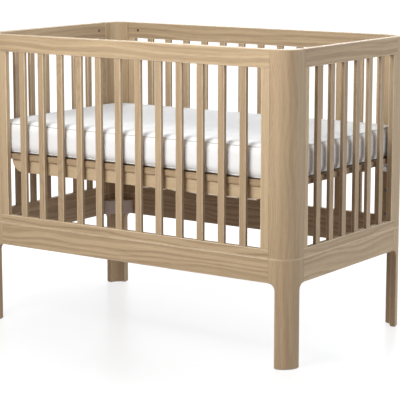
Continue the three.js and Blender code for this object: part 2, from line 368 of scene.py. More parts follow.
# Rings: the share of a ring that has gone by, and a group of rings that grew in wetter or drier years.
ring_count = calculate("DIVIDE", heart_distance, oak_in["Ring Width"])
ring_place = calculate("FRACT", weighted_sum(ring_count, (noise["wobble"], RING_WOBBLE)))
early_band = ramp(calculate("PINGPONG", ring_place, 0.5), 0.0, EARLY_END, 1.0, 0.0)
rough_count = weighted_sum(ring_count, (noise["wobble"], YEARS_WOBBLE))
years = soft_noise(add_node(oak_grain, "CombineXYZ", {"X": rough_count}).outputs[0], YEARS_SCALE, 2.5)

# Pores: thin dashes along the grain, thickest in the early band. Flecks: the paler rays between them.
pore_mask = calculate("MULTIPLY", ramp(noise["pores"], *OPEN_PORES), weighted_sum(0.25, (early_band, 0.75)))
flecks = ramp(noise["flecks"], *RAY_FLECKS)

# A Mix node keeps its amount between 0 and 1, so the darkness may run past both ends.
darkness = weighted_sum(-0.55, (early_band, 0.16), (ramp(years, *LATE_YEARS), oak_in["Figure"]),
                        (noise["streaks"], 0.75), (noise["clouds"], 0.30), (oak_in["Tone"], 0.50))
oak_color = blend_colors(darkness, LIGHT_OAK, DEEP_OAK)
oak_color = blend_colors(calculate("MULTIPLY", flecks, 0.22), oak_color, RAY_CREAM)
oak_color = blend_colors(calculate("MULTIPLY", pore_mask, 0.50), oak_color, PORE_BROWN)
oak_rough = weighted_sum(0.46, (pore_mask, 0.22), (noise["streaks"], 0.10))
oak_height = weighted_sum(0.0, (noise["streaks"], 0.3), (pore_mask, -0.8))
set_inputs(oak_out, {"Color": oak_color, "Roughness": oak_rough, "Height": oak_height})
print("oak grain:", len(oak_grain.nodes), "nodes")

# %% [markdown]
# ## Edge wear and painted highlights
# Each edge is sanded before the finish goes on, and hands rub it later, so it is a little smoother than the
# face
# beside it. It is also paler: partly from that wear, and partly as a painted highlight, the thin bright line
# that an edge catches. Every wooden piece carries two attributes: its own coordinates from its middle, and
# its half sizes. The gap between the two says how far the nearest edge is: of the three distances to the
# piece's faces the smallest is about nil on any surface, and the middle one is the distance to an edge. The
# middle one of a, b and c is max(min(a, b), min(max(a, b), c)).

# %% Edge wear and painted highlight group
PATCH_SCALE = 38.0
PATCH_LEAST = 0.4
PATCH_SPREAD = 1.2

worn_edge_and_highlight, edge_in, edge_out = new_group(
    "Worn edge and painted highlight", {"Place": None, "Half Size": None, "Reach": 0.004}, {"Mask": "Float"})
inward = add_node(worn_edge_and_highlight, "VectorMath", {0: edge_in["Place"]}, operation="ABSOLUTE").outputs[0]
inward = add_node(worn_edge_and_highlight, "VectorMath", {0: edge_in["Half Size"], 1: inward},
                  operation="SUBTRACT").outputs[0]
gaps = add_node(worn_edge_and_highlight, "SeparateXYZ", {0: inward}).outputs
larger = calculate("MAXIMUM", gaps[0], gaps[1])
to_edge = calculate("MAXIMUM", calculate("MINIMUM", gaps[0], gaps[1]), calculate("MINIMUM", larger, gaps[2]))
patchy = weighted_sum(PATCH_LEAST, (soft_noise(edge_in["Place"], PATCH_SCALE), PATCH_SPREAD))
reach = calculate("MULTIPLY", edge_in["Reach"], patchy)
set_inputs(edge_out, {"Mask": ramp(calculate("DIVIDE", to_edge, reach), 0.0, 1.0, 1.0, 0.0)})
print("worn edge and painted highlight:", len(worn_edge_and_highlight.nodes), "nodes")

# %% [markdown]
# ## Oak finish
# The oak reads what each piece says about itself: where it lies in the grain, its tone, its figure, and the
# two attributes for its edges.

# %% Oak material
PALE_EDGE_WEAR_AND_HIGHLIGHT = (0.720, 0.590, 0.430, 1)
EDGE_REACH = 0.0042
EDGE_WEAR_AND_HIGHLIGHT_SHARE = 0.65
EDGE_POLISH = -0.08
RELIEF_DEPTH = 0.0003

oak, tree, surface = new_material("Natural oak, matt lacquer")
read = {}
for name, output in (("grain", "Vector"), ("tone", "Fac"), ("figure", "Fac"), ("place", "Vector"),
                     ("half_size", "Vector")):
    read[name] = add_node(tree, "Attribute", attribute_name=name).outputs[output]
wood = use_group(tree, oak_grain, {"Grain": read["grain"], "Tone": read["tone"], "Figure": read["figure"]})
values = {"Place": read["place"], "Half Size": read["half_size"], "Reach": EDGE_REACH}
edge = use_group(tree, worn_edge_and_highlight, values)["Mask"]
set_inputs(surface, {
    # painted highlight: the edge mask pales the colour, partly for wear and partly for the bright line an
    # edge catches
    "Base Color": blend_colors(calculate("MULTIPLY", edge, EDGE_WEAR_AND_HIGHLIGHT_SHARE), wood["Color"], PALE_EDGE_WEAR_AND_HIGHLIGHT),
    "Roughness": weighted_sum(wood["Roughness"], (edge, EDGE_POLISH)),
    "Normal": bump(wood["Height"], 0.35, RELIEF_DEPTH),
    "Specular IOR Level": 0.35,
})
print("oak material ready")

# %% [markdown]
# ## Birch plywood
# The deck is a ventilated plywood board. Its faces are plain veneer and its edges show the plies, pale and
# brown in turn. The plies are level sheets, so their bands need only the height above the floor, which
# Object coordinates give.

# %% Plywood material
PLY_BOTTOM = float(low("mattress_deck")[2])
PLY_COUNT = 9
PLY_BROWN = (0.235, 0.150, 0.085, 1)
PLY_BROWN_SHARE = 0.55
PLY_CHANGE = (0.18, 0.32)
ply_thickness = float(high("mattress_deck")[2] - low("mattress_deck")[2]) / PLY_COUNT

plywood, tree, surface = new_material("Birch plywood")
spot = object_spot(tree)
veneer = use_group(tree, oak_grain, {"Grain": spot, "Tone": 0.55, "Ring Width": 0.009, "Heart Depth": 0.4})
ply_height = calculate("SUBTRACT", add_node(tree, "SeparateXYZ", {0: spot}).outputs["Z"], PLY_BOTTOM)
ply_turn = calculate("PINGPONG", calculate("DIVIDE", ply_height, ply_thickness * 2), 0.5)
ply_shade = calculate("MULTIPLY", ramp(ply_turn, *PLY_CHANGE), PLY_BROWN_SHARE)
set_inputs(surface, {
    "Base Color": blend_colors(ply_shade, veneer["Color"], PLY_BROWN),
    "Roughness": calculate("ADD", veneer["Roughness"], 0.1),
    "Normal": bump(veneer["Height"], 0.3, RELIEF_DEPTH),
    "Specular IOR Level": 0.3,
})
print("plies of", round(ply_thickness * 1000, 2), "mm")

# %% [markdown]
# ## Plastic, steel and nylon
# The corner blocks are moulded in warm grey. The fasteners are zinc-plated steel; the threaded inserts and
# cross dowels sit in the shade, and the darker steel they are given is painted shade. The leg glides are
# hard nylon. All of these, and the floor, have a fine unevenness. One small group makes it, and each
# material uses it at its own scale.

# %% Speckled materials
fine_speckle, speckle_in, speckle_out = new_group(
    "Fine speckle", {"Vector": None, "Scale": 400.0, "Cloud Scale": 9.0},
    {"Speckle": "Float", "Cloud": "Float"})
set_inputs(speckle_out, {
    "Speckle": soft_noise(speckle_in["Vector"], speckle_in["Scale"], 3.0, 0.6),
    "Cloud": soft_noise(speckle_in["Vector"], speckle_in["Cloud Scale"]),
})


def speckled_material(name, dark, pale, roughness, spread, scale, cloud_scale, relief=None, metallic=0.0):
    """Two close shades in clouds, a roughness that a fine speckle raises by up to spread, and a relief of
    the same speckle if its strength and distance are given. Gives the material, tree and sockets."""
    material, tree, surface = new_material(name)
    values = {"Vector": object_spot(tree), "Scale": scale, "Cloud Scale": cloud_scale}
    fine = use_group(tree, fine_speckle, values)
    set_inputs(surface, {
        "Base Color": blend_colors(fine["Cloud"], dark, pale),
        "Roughness": weighted_sum(roughness, (fine["Speckle"], spread)),
        "Metallic": metallic,
    })
    if relief:
        set_inputs(surface, {"Normal": bump(fine["Speckle"], *relief)})
    return material, tree, surface


plastic = speckled_material("Warm grey moulded plastic", (0.510, 0.465, 0.445, 1), (0.610, 0.565, 0.545, 1),
                            0.38, 0.25, 900.0, 30.0, relief=(0.25, 0.0002))[0]
zinc = speckled_material("Zinc-plated steel", (0.46, 0.46, 0.45, 1), (0.62, 0.62, 0.60, 1),
                         0.22, 0.3, 1500.0, 120.0, relief=(0.2, 0.0001), metallic=1.0)[0]
# painted shade: the parts that sit in the shade get a darkened steel
dark_steel_painted_shade = speckled_material("Dark steel, painted shade", (0.090, 0.080, 0.072, 1), (0.140, 0.125, 0.112, 1),
                               0.35, 0.3, 1500.0, 120.0, relief=(0.2, 0.0001), metallic=1.0)[0]
nylon = speckled_material("Grey nylon", (0.34, 0.32, 0.30, 1), (0.42, 0.40, 0.375, 1),
                          0.4, 0.2, 700.0, 60.0)[0]
print("plastic, metals and nylon ready")

# %% [markdown]
# ## Mattress cover
# The cover is a fine white cotton knit: at arm's length it looks plain, close up it has rows of small
# loops. The rows come from two sets of waves at right angles, multiplied, so that each crossing is a small
# bump. A slow noise varies the white a little, and sheen gives the soft edge that cloth has.

# %% Cloth group and materials
WARP_LEAN = 0.31  # so that upright faces show the warp too
SLUB_STRETCH = (14.0, 60.0, 60.0)
SLUB_RELIEF = 0.6

cloth_weave, weave_in, weave_out = new_group(
    "Cloth weave", {"Vector": None, "Threads": 420.0}, {"Height": "Float", "Shade": "Float"})
spacing = add_node(cloth_weave, "SeparateXYZ", {0: weave_in["Vector"]}).outputs
turn_rate = calculate("MULTIPLY", weave_in["Threads"], 2 * math.pi)
warp_way = weighted_sum(spacing["X"], (spacing["Z"], WARP_LEAN))
weft_way = calculate("ADD", spacing["Y"], spacing["Z"])
warp_wave = calculate("SINE", calculate("MULTIPLY", warp_way, turn_rate))
weft_wave = calculate("SINE", calculate("MULTIPLY", weft_way, turn_rate))
slub = soft_noise(stretch(weave_in["Vector"], SLUB_STRETCH), 1.0, 3.0)
loops = weighted_sum(0.5, (calculate("MULTIPLY", warp_wave, weft_wave), 0.5))
set_inputs(weave_out, {"Height": weighted_sum(loops, (slub, SLUB_RELIEF)), "Shade": slub})


def cloth_material(name, shade, white, threads):
    """A woven or knitted cover: weave relief, a slow change of white, and sheen."""
    material, tree, surface = new_material(name)
    weave = use_group(tree, cloth_weave, {"Vector": object_spot(tree), "Threads": threads})
    set_inputs(surface, {
        "Base Color": blend_colors(weave["Shade"], shade, white),
        "Normal": bump(weave["Height"], 0.4, 0.0004),
        "Roughness": ramp(weave["Shade"], 0.0, 1.0, 0.86, 0.97),
        "Sheen Weight": 0.15,
        "Specular IOR Level": 0.2,
    })
    return material


cover = cloth_material("White cotton knit", (0.73, 0.74, 0.765, 1), (0.78, 0.79, 0.815, 1), 420.0)
# painted shade: the piping is greyer than the cover to draw the shaded line along the mattress's edges
piping_painted_shade = cloth_material("Grey piping, painted shade", (0.56, 0.56, 0.56, 1), (0.64, 0.64, 0.635, 1), 700.0)
print("cloth ready")

# %% [markdown]
# ## Wooden bars
# Rails, stiles, slats, boards, posts and legs are all bars: a long rounded rectangle in plan, carried
# upwards. One function makes them all, so that every piece has the same kind of sanded edge. Each row of
# the grid is the section at one height. Towards either end of the bar the rows shrink inwards while they
# climb, which rounds the upper and lower edges as well.
#
# A box with a Bevel modifier would be quicker to type. But a bevel gives every edge the same radius, and
# the bend of the posts and the sweep of the legs need a grid to bend.

# %% Mesh helpers
ARC_STEPS = 3  # faces round each sanded edge


def ring_faces(rows, columns, closed=False):
    """Quads between each row and the next one up, round a closed ring of columns. If closed, the last row
    is joined to the first one as well."""
    row, column = np.meshgrid(np.arange(rows if closed else rows - 1), np.arange(columns), indexing="ij")
    above, after = (row + 1) % rows, (column + 1) % columns
    corners = [(row, column), (row, after), (above, after), (above, column)]
    return np.stack([at_row * columns + at_column for at_row, at_column in corners], -1).reshape(-1, 4)


def band(count, first, second):
    """Quads between two rings of count points, whose numbers start at first and at second."""
    here = np.arange(count)
    after = (here + 1) % count
    return np.stack([here + first, after + first, after + second, here + second], -1)


def bar_faces(grid):
    """The sides of a bar and the quads that close its lowest and highest row. The first half of a row is the
    outer side and the second half comes back along the inner side, so each outer point is joined to the
    inner point behind it."""
    rows, columns = grid.shape[:2]
    near = np.arange(columns // 2 - 1)
    top = np.stack([near, near + 1, columns - 2 - near, columns - 1 - near], -1)
    return np.concatenate([ring_faces(rows, columns), top[:, ::-1], top + (rows - 1) * columns]).tolist()


def new_piece(name, points, faces, material):
    """A mesh object at the origin, from an array of points and lists of faces."""
    mesh = bpy.data.meshes.new(name)
    mesh.from_pydata(np.asarray(points).reshape(-1, 3).tolist(), [], [list(face) for face in faces])
    mesh.materials.append(material)
    mesh.polygons.foreach_set("use_smooth", np.full(len(mesh.polygons), True))
    mesh.update()
    piece = bpy.data.objects.new(name, mesh)
    bpy.context.scene.collection.objects.link(piece)
    return piece


def set_attribute(piece, name, values):
    """One value or vector for each vertex of a piece, read by its material."""
    values = np.asarray(values, np.float32)
    kind, field = ("FLOAT_VECTOR", "vector") if values.ndim > 1 else ("FLOAT", "value")
    attribute = piece.data.attributes.new(name, kind, "POINT")
    attribute.data.foreach_set(field, values.ravel())


def soften_normals(piece):
    """Large faces lead the shading, so that they look flat and only the rounded edges turn."""
    modifier = piece.modifiers.new("Weighted normals", "WEIGHTED_NORMAL")
    modifier.keep_sharp = False


def attach(piece, body, slot_name, *nodes):
    """Says what the piece moves with and which CAD nodes it stands for, which are hidden. slot_name, the
    finish it takes, is not used.
    """
    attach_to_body(piece, body)
    if nodes:
        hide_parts(*nodes)


# %% Bars and their rows


def climbing_rows(bottom, top, bottom_edge, top_edge, between=()):
    """Heights of a bar's rows and how far each shrinks inwards. Round an edge of radius r at angle a, the
    height gains r(1 - cos a) from the end and the section shrinks by r(1 - sin a)."""
    angle = np.linspace(0, math.pi / 2, ARC_STEPS + 1)
    rise = 1 - np.cos(angle)
    shrink = 1 - np.sin(angle)
    heights = [bottom + bottom_edge * rise, np.asarray(between, float), top - top_edge * rise[::-1]]
    insets = [bottom_edge * shrink, np.zeros(len(between)), top_edge * shrink[::-1]]
    return np.concatenate(heights), np.concatenate(insets)


def bar_surface(heights, insets, half_length, thickness, edge, stations=()):
    """Points (along, depth, height) of a bar, one row for each height. A row starts at the left end, goes
    round an edge of the given radius to the outer face, along it through the stations (shares of the half
    length) to the right end, and comes back on the inner side with its depth mirrored."""
    half = np.broadcast_to(half_length, heights.shape)[:, None] - insets[:, None]
    radius = np.broadcast_to(edge, heights.shape)[:, None]
    inset = insets[:, None]
    angle = np.linspace(0, math.pi / 2, ARC_STEPS + 1)
    left_along = -half + radius * (1 - np.cos(angle))
    left_depth = inset + radius * (1 - np.sin(angle))
    middle_along = (half - radius) * np.asarray(stations, float)
    middle_depth = inset + np.zeros_like(middle_along)
    outer_along = np.concatenate([left_along, middle_along, -left_along[:, ::-1]], 1)
    outer_depth = np.concatenate([left_depth, middle_depth, left_depth[:, ::-1]], 1)
    along = np.concatenate([outer_along, outer_along[:, ::-1]], 1)
    depth = np.concatenate([outer_depth, thickness - outer_depth[:, ::-1]], 1)
    height = np.broadcast_to(heights[:, None], along.shape)
    return np.stack([along, depth, height], -1)


def turned(points, place):
    """Points turned about the upright axis, then moved. A place is a number of quarter turns and a centre:
    (x cos a - y sin a, x sin a + y cos a) + centre."""
    quarter_turns, centre = place
    cosine, sine = ((1, 0), (0, 1), (-1, 0), (0, -1))[quarter_turns]
    x, y, z = points[..., 0], points[..., 1], points[..., 2]
    return np.stack([cosine * x - sine * y + centre[0], sine * x + cosine * y + centre[1], z], -1)


print("bar functions ready")

# %% [markdown]
# ## Grain that follows each piece
# No two pieces are cut from the same place in the log. Each piece gets its own start in the grain, chosen
# by a generator with a fixed seed, and its own tone. In rails and boards the grain runs level; in posts,
# legs, stiles and slats it stands upright. Upright pieces are cut well to the side of the tree's heart, so
# their grain is straight and faint; boards and rails are cut over it, so they show arches and a stronger
# figure. The bar's own coordinates are stored before it is bent or turned, so the grain follows the bend.
#
# An end that is glued to a neighbour isn't sanded and catches no highlight. There the piece counts as
# reaching further than it does, so that its end lies far from any edge and no pale line of wear and painted
# highlight is drawn along the joint.

# %% Grain attributes
JOINED = 0.010  # how much further a glued end counts as reaching
LOOSE = ((0, 0, 0), (0, 0, 0))
ENDS_JOINED = ((1, 0, 0), (1, 0, 0))
TIPS_JOINED = ((0, 0, 1), (0, 0, 1))
UPRIGHT_FIGURE = 0.18
LEVEL_FIGURE = 0.50
ASIDE_UPRIGHT = (0.12, 0.30)  # metres to the side of the heart
ASIDE_LEVEL = (-0.02, 0.02)
ALONG_LOG = (0, 40)
INTO_LOG = (0, 0.05)
TONE_SPREAD = 0.20
chance = np.random.default_rng(7)


def give_grain(piece, local, half_size, upright, tone_shift=0.0, figure=None, joined=LOOSE):
    """Stores grain, place, half_size, tone and figure on a wooden piece. local is (along, depth, height) for
    each vertex; half_size is the same for the piece or one row for each vertex. joined marks with 1 each low
    and high end that is glued. Grain = the piece's own coordinates, grain first, + its start in the log."""
    local = local.reshape(-1, 3)
    low_joined, high_joined = np.array(joined) * JOINED
    middle = (local.max(0) + high_joined + local.min(0) - low_joined) / 2
    order = [2, 0, 1] if upright else [0, 2, 1]
    aside = chance.uniform(*(ASIDE_UPRIGHT if upright else ASIDE_LEVEL))
    start = np.array([chance.uniform(*ALONG_LOG), aside, chance.uniform(*INTO_LOG)])
    tone = np.clip(0.5 + TONE_SPREAD * chance.standard_normal() + tone_shift, 0.0, 1.0)
    if figure is None:
        figure = UPRIGHT_FIGURE if upright else LEVEL_FIGURE
    half_size = half_size + (low_joined + high_joined) / 2
    set_attribute(piece, "grain", local[:, order] + start)
    set_attribute(piece, "place", local - middle)
    set_attribute(piece, "half_size", np.broadcast_to(half_size, local.shape))
    set_attribute(piece, "tone", np.full(len(local), tone))
    set_attribute(piece, "figure", np.full(len(local), figure))


def wooden_bar(name, local, placed, half_size, upright, nodes, tone_shift=0.0, joined=LOOSE):
    """A finished oak piece from the grid of a bar, its place in the crib and its grain."""
    piece = new_piece(name, placed, bar_faces(local), oak)
    give_grain(piece, local, half_size, upright, tone_shift, joined=joined)
    soften_normals(piece)
    attach(piece, "crib_frame", "oak", *nodes)


# %% [markdown]
# ## Corner posts and legs
# Each corner is one quarter-round shell, sawn through at the seam: the post above and the leg below. The
# wings of the leg end in a concave sweep under the base boards, so that only the round part reaches the
# floor. Both are bars whose section is bent: inside the quarter circle, the way along the bar becomes an
# angle, and past it the bar runs straight on.

# %% Corner posts
CORNERS = {
    "front_left": (0, (-LENGTH / 2, -WIDTH / 2)),
    "front_right": (1, (LENGTH / 2, -WIDTH / 2)),
    "back_right": (2, (LENGTH / 2, WIDTH / 2)),
    "back_left": (3, (-LENGTH / 2, WIDTH / 2)),
}
BEND_STATIONS = np.linspace(-0.98, 0.98, 33)
LEG_TONE = 0.12
half_span = HALF_ARC + POST_FLAT


def bent(points):
    """(along, depth, height) bent round a corner whose outside corner is at the origin and whose inside is
    towards +X +Y. Angle = along / radius; distance from the round's centre = radius - depth."""
    along, depth, height = points[..., 0], points[..., 1], points[..., 2]
    on_arc = np.clip(along, -HALF_ARC, HALF_ARC)
    past = along - on_arc
    angle = math.pi / 4 + on_arc / CORNER_RADIUS
    x = CORNER_RADIUS - (CORNER_RADIUS - depth) * np.cos(angle) + np.maximum(past, 0)
    y = CORNER_RADIUS - (CORNER_RADIUS - depth) * np.sin(angle) + np.maximum(-past, 0)
    return np.stack([x, y, height], -1)


heights, insets = climbing_rows(SEAM_TOP, HEIGHT, BUTT_EDGE, SANDED_EDGE)
post_local = bar_surface(heights, insets, half_span, CORNER_WALL, BUTT_EDGE, BEND_STATIONS)
post_half = (half_span, CORNER_WALL / 2, (HEIGHT - SEAM_TOP) / 2)
for corner, place in CORNERS.items():
    placed = turned(bent(post_local), place)
    wooden_bar("corner_post_" + corner, post_local, placed, post_half, True, ["post_" + corner],
               joined=ENDS_JOINED)
print("4 posts,", post_local.shape[0] * post_local.shape[1], "points each")

# %% Legs
GLIDE_HEIGHT = 0.002
LEG_EDGE = 0.0018
SWEEP_STEPS = 10

sweep = np.linspace(0, math.pi / 2, SWEEP_STEPS + 1)
sweep_heights = BOARD_BOTTOM - POST_FLAT + POST_FLAT * np.sin(sweep)
sweep_halves = HALF_ARC + POST_FLAT - POST_FLAT * np.cos(sweep)
heights, insets = climbing_rows(GLIDE_HEIGHT, SEAM_BOTTOM, LEG_EDGE, SEAM_EDGE, sweep_heights)
below = heights < BOARD_BOTTOM - POST_FLAT
leg_halves = np.where(below, HALF_ARC, HALF_ARC + POST_FLAT)
leg_halves[ARC_STEPS + 1:ARC_STEPS + 1 + len(sweep)] = sweep_halves
leg_edges = np.where(heights < BOARD_BOTTOM, LEG_EDGE, BUTT_EDGE)
leg_local = bar_surface(heights, insets, leg_halves, CORNER_WALL, leg_edges, BEND_STATIONS)
leg_half = np.zeros(leg_local.shape)
leg_half[..., 0] = leg_halves[:, None]
leg_half[..., 1] = CORNER_WALL / 2
leg_half[..., 2] = SEAM_BOTTOM / 2
leg_half[heights >= BOARD_BOTTOM, :, 0] += JOINED
for corner, place in CORNERS.items():
    placed = turned(bent(leg_local), place)
    wooden_bar("corner_leg_" + corner, leg_local, placed, leg_half.reshape(-1, 3), True, ["leg_" + corner],
               tone_shift=LEG_TONE)
print("4 legs,", leg_local.shape[0] * leg_local.shape[1], "points each")

# %% [markdown]
# ## Leg glides
# A thin nylon pad under each leg keeps the end grain off the floor. It has the leg's section, set in by a
# few millimetres on every side, so it is the same bent bar, only smaller.

# %% Leg glides
GLIDE_INSET = 0.003
GLIDE_EDGE = 0.002
GLIDE_FOOT_EDGE = 0.0006
GLIDE_TOP_EDGE = 0.0003

heights, insets = climbing_rows(0.0, GLIDE_HEIGHT - JOINT_GAP, GLIDE_FOOT_EDGE, GLIDE_TOP_EDGE)
glide_local = bar_surface(heights, insets, HALF_ARC - GLIDE_INSET, CORNER_WALL - 2 * GLIDE_INSET, GLIDE_EDGE,
                          BEND_STATIONS[::2])
glide_local[..., 1] += GLIDE_INSET
for corner, place in CORNERS.items():
    glide = new_piece("leg_glide_" + corner, turned(bent(glide_local), place), bar_faces(glide_local), nylon)
    soften_normals(glide)
    attach(glide, "crib_frame", "grey_plastic")
print("4 glides")

# %% [markdown]
# ## The four sides
# Each side is a gallery panel on a base board. The panel is a top rail, a bottom rail and two stiles, glued
# up as a frame, with slats between the rails. The CAD model joins the frame in one node to keep its count
# of nodes down; here each rail and stile is a piece of its own, because the grain changes direction at
# every joint and the joints show as fine lines.

# %% Rails, stiles and base boards
SIDES = {
    "front": (0, (0, -WIDTH / 2)),
    "right": (1, (LENGTH / 2, 0)),
    "back": (2, (0, WIDTH / 2)),
    "left": (3, (-LENGTH / 2, 0)),
}
SPAN = {"front": LENGTH, "right": WIDTH, "back": LENGTH, "left": WIDTH}
HANDS = (("left", -1), ("right", 1))
TONE_OF_SIDE = {"front": 0.0, "right": 0.0, "back": 0.05, "left": 0.05}
STILE_TONE = -0.30
PLINTH_TONE = 0.06


def side_bar(name, side, middle, half, bottom, top, edges, nodes, upright=False, tone_shift=0.0,
             joined=ENDS_JOINED, thickness=THICKNESS):
    """A straight bar in one side's panel, in the middle of its thickness. middle is its middle along the
    side, edges are its radii at the bottom, at the top and at its ends."""
    heights, insets = climbing_rows(bottom, top, edges[0], edges[1])
    local = bar_surface(heights, insets, half, thickness, edges[2])
    local += (middle, (THICKNESS - thickness) / 2, 0)
    half_size = (half, thickness / 2, (top - bottom) / 2)
    wooden_bar(name, local, turned(local, SIDES[side]), half_size, upright, nodes,
               tone_shift + TONE_OF_SIDE[side], joined)


for side in SIDES:
    panel = "panel_frame_" + side
    half = SPAN[side] / 2 - POST_SPAN - JOINT_GAP
    stile = STILE_WIDTH[side]
    side_bar("top_rail_" + side, side, 0.0, half, WINDOW_TOP, HEIGHT, (SANDED_EDGE, SANDED_EDGE, BUTT_EDGE),
             [panel])
    side_bar("bottom_rail_" + side, side, 0.0, half, SEAM_TOP, WINDOW_BOTTOM,
             (BUTT_EDGE, SANDED_EDGE, BUTT_EDGE), [panel])
    for hand, sign in HANDS:
        side_bar(f"stile_{side}_{hand}", side, sign * (half - stile / 2), stile / 2,
                 WINDOW_BOTTOM + JOINT_GAP, WINDOW_TOP - JOINT_GAP, (BUTT_EDGE, BUTT_EDGE, SANDED_EDGE / 2),
                 [panel], upright=True, tone_shift=STILE_TONE,
                 joined=((hand == "left", 0, 1), (hand == "right", 0, 1)))
    side_bar("plinth_board_" + side, side, 0.0, half, BOARD_BOTTOM, SEAM_BOTTOM,
             (SANDED_EDGE, SEAM_EDGE, BUTT_EDGE), ["base_board_" + side], tone_shift=PLINTH_TONE)
print("4 sides of 5 pieces")

# %% [markdown]
# ## Slats
# A slat is a flat bar with well-rounded edges. There are 36, so each has only the faces that its shape
# needs. Its place along the side is read from its CAD node's box; its seat inside the rail is left off,
# because the rails here are whole.

# %% Slats
SLAT_EDGE = 0.003
SLAT_END_EDGE = 0.0003
SLAT_TONE = 0.45

slat_nodes = sorted(name for name in frame["nodes"] if name.startswith("slat_"))
for node in slat_nodes:
    side = node.split("_")[1]
    axis = 0 if side in ("front", "back") else 1
    width = high(node)[axis] - low(node)[axis]
    slat_depth = high(node)[1 - axis] - low(node)[1 - axis]
    facing_way = 1 if side in ("front", "right") else -1
    middle = facing_way * (high(node)[axis] + low(node)[axis]) / 2
    side_bar(node.replace("slat_", "gallery_slat_"), side, middle, width / 2, WINDOW_BOTTOM + JOINT_GAP,
             WINDOW_TOP - JOINT_GAP, (SLAT_END_EDGE, SLAT_END_EDGE, SLAT_EDGE), [node], upright=True,
             tone_shift=SLAT_TONE, joined=TIPS_JOINED, thickness=slat_depth)
print(len(slat_nodes), "slats")

# %% [markdown]
# ## Prisms
# The aprons, the corner blocks and the deck's brackets are flat outlines pushed through a thickness. An
# outline has only the points that its shape needs. A Bevel modifier with a small width then rounds the
# edges, and weighted normals keep the faces flat.

# %% Prism helpers
BEVEL_STEPS = 2
BEVEL_ANGLE = math.radians(30)


def prism(outline, depth):
    """Points and faces of an outline (along, height) pushed through a depth. The outline runs clockwise as
    seen from the outer side, and the points are (along, depth, height)."""
    outline = np.asarray(outline, float)
    count = len(outline)
    near = np.stack([outline[:, 0], np.zeros(count), outline[:, 1]], -1)
    far = near + (0, depth, 0)
    ends = [list(range(count))[::-1], list(range(count, 2 * count))]
    return np.concatenate([near, far]), band(count, 0, count).tolist() + ends


def bevelled(piece, width):
    """Rounds every edge that turns by more than the least angle."""
    modifier = piece.modifiers.new("Rounded edges", "BEVEL")
    modifier.width = width
    modifier.segments = BEVEL_STEPS
    modifier.limit_method = "ANGLE"
    modifier.angle_limit = BEVEL_ANGLE
    soften_normals(piece)


# %% [markdown]
# ## Deck aprons
# Two boards on edge stiffen the deck. Each lower corner is a quarter circle as tall as the board, so the
# board's end sweeps up to the deck.

# %% Deck aprons
APRON_EDGE = 0.0015
APRON_ARC_STEPS = 14
APRON_TONE = -0.8
APRON_FIGURE = 0.1

for side in ("front", "back"):
    node = "deck_apron_" + side
    near, far = low(node), high(node)
    tall = far[2] - near[2]
    reach_out = far[0] - tall
    angle = np.linspace(0, math.pi / 2, APRON_ARC_STEPS)
    right_end = np.stack([reach_out + tall * np.cos(angle), far[2] - tall * np.sin(angle)], -1)
    left_end = right_end[::-1] * (-1, 1)
    points, faces = prism(np.concatenate([right_end, left_end]), far[1] - near[1])
    outer_face = max(abs(near[1]), abs(far[1]))
    placed = turned(points - (0, outer_face, 0), (SIDES[side][0], (0, 0)))
    apron = new_piece("apron_board_" + side, placed, faces, oak)
    give_grain(apron, points, (far[0], (far[1] - near[1]) / 2, tall / 2), False, APRON_TONE, APRON_FIGURE)
    bevelled(apron, APRON_EDGE)
    attach(apron, "deck", "oak", node)
print("2 aprons")

# %% Deck
deck = frame["nodes"]["mattress_deck"]
deck.data.materials.clear()
deck.data.materials.append(plywood)
print("deck has", len(deck.data.polygons), "faces")

# %% [markdown]
# ## Corner blocks
# A moulded block in each corner of the plinth ties the leg to its two boards. Seen from above it is a
# triangle with a cut-off outer corner that fits the round of the leg, and it is hollow from below, as
# moulded parts are, so that the walls cool evenly. The pocket's outline is the block's own, moved inwards by
# the wall: each corner moves by wall (n1 + n2) / (1 + n1 . n2), where n1 and n2 are the inward normals of
# the two edges that meet there.

# %% Corner blocks
BLOCK_WALL = 0.005
BLOCK_END_DEPTH = 0.019
BLOCK_END_SLOPE = 0.007
BLOCK_EDGE = 0.0012
BLOCK_ARC_STEPS = 12

block_low = low("corner_block_front_left")
block_high = high("corner_block_front_left")
on_board = block_low[0] + LENGTH / 2
reach = block_high[0] + LENGTH / 2
fit_gap = on_board - THICKNESS
on_leg = CORNER_WALL + fit_gap
past_leg = POST_SPAN + fit_gap
end_out = on_leg + BLOCK_END_DEPTH
end_in = reach - BLOCK_END_SLOPE


def moved_inwards(outline, distance):
    """An anticlockwise outline with each edge moved inwards by a distance."""
    step = np.roll(outline, -1, 0) - outline
    after = np.stack([-step[:, 1], step[:, 0]], -1) / np.linalg.norm(step, axis=1, keepdims=True)
    before = np.roll(after, 1, 0)
    return outline + distance * (before + after) / (1 + (before * after).sum(1, keepdims=True))


def cup(outline, inner, bottom, top, ceiling):
    """A closed prism with a pocket from below: rings of points at the outer bottom, outer top, inner bottom
    and inner ceiling, joined by quads, and two flat ends."""
    count = len(outline)
    levels = ((outline, bottom), (outline, top), (inner, bottom), (inner, ceiling))
    points = np.concatenate([np.column_stack([ring, np.full(count, height)]) for ring, height in levels])
    walls = [band(count, 0, count), band(count, 2 * count, 0), band(count, 3 * count, 2 * count)]
    ends = [list(range(count, 2 * count)), list(range(3 * count, 4 * count))[::-1]]
    return points, np.concatenate(walls).tolist() + ends


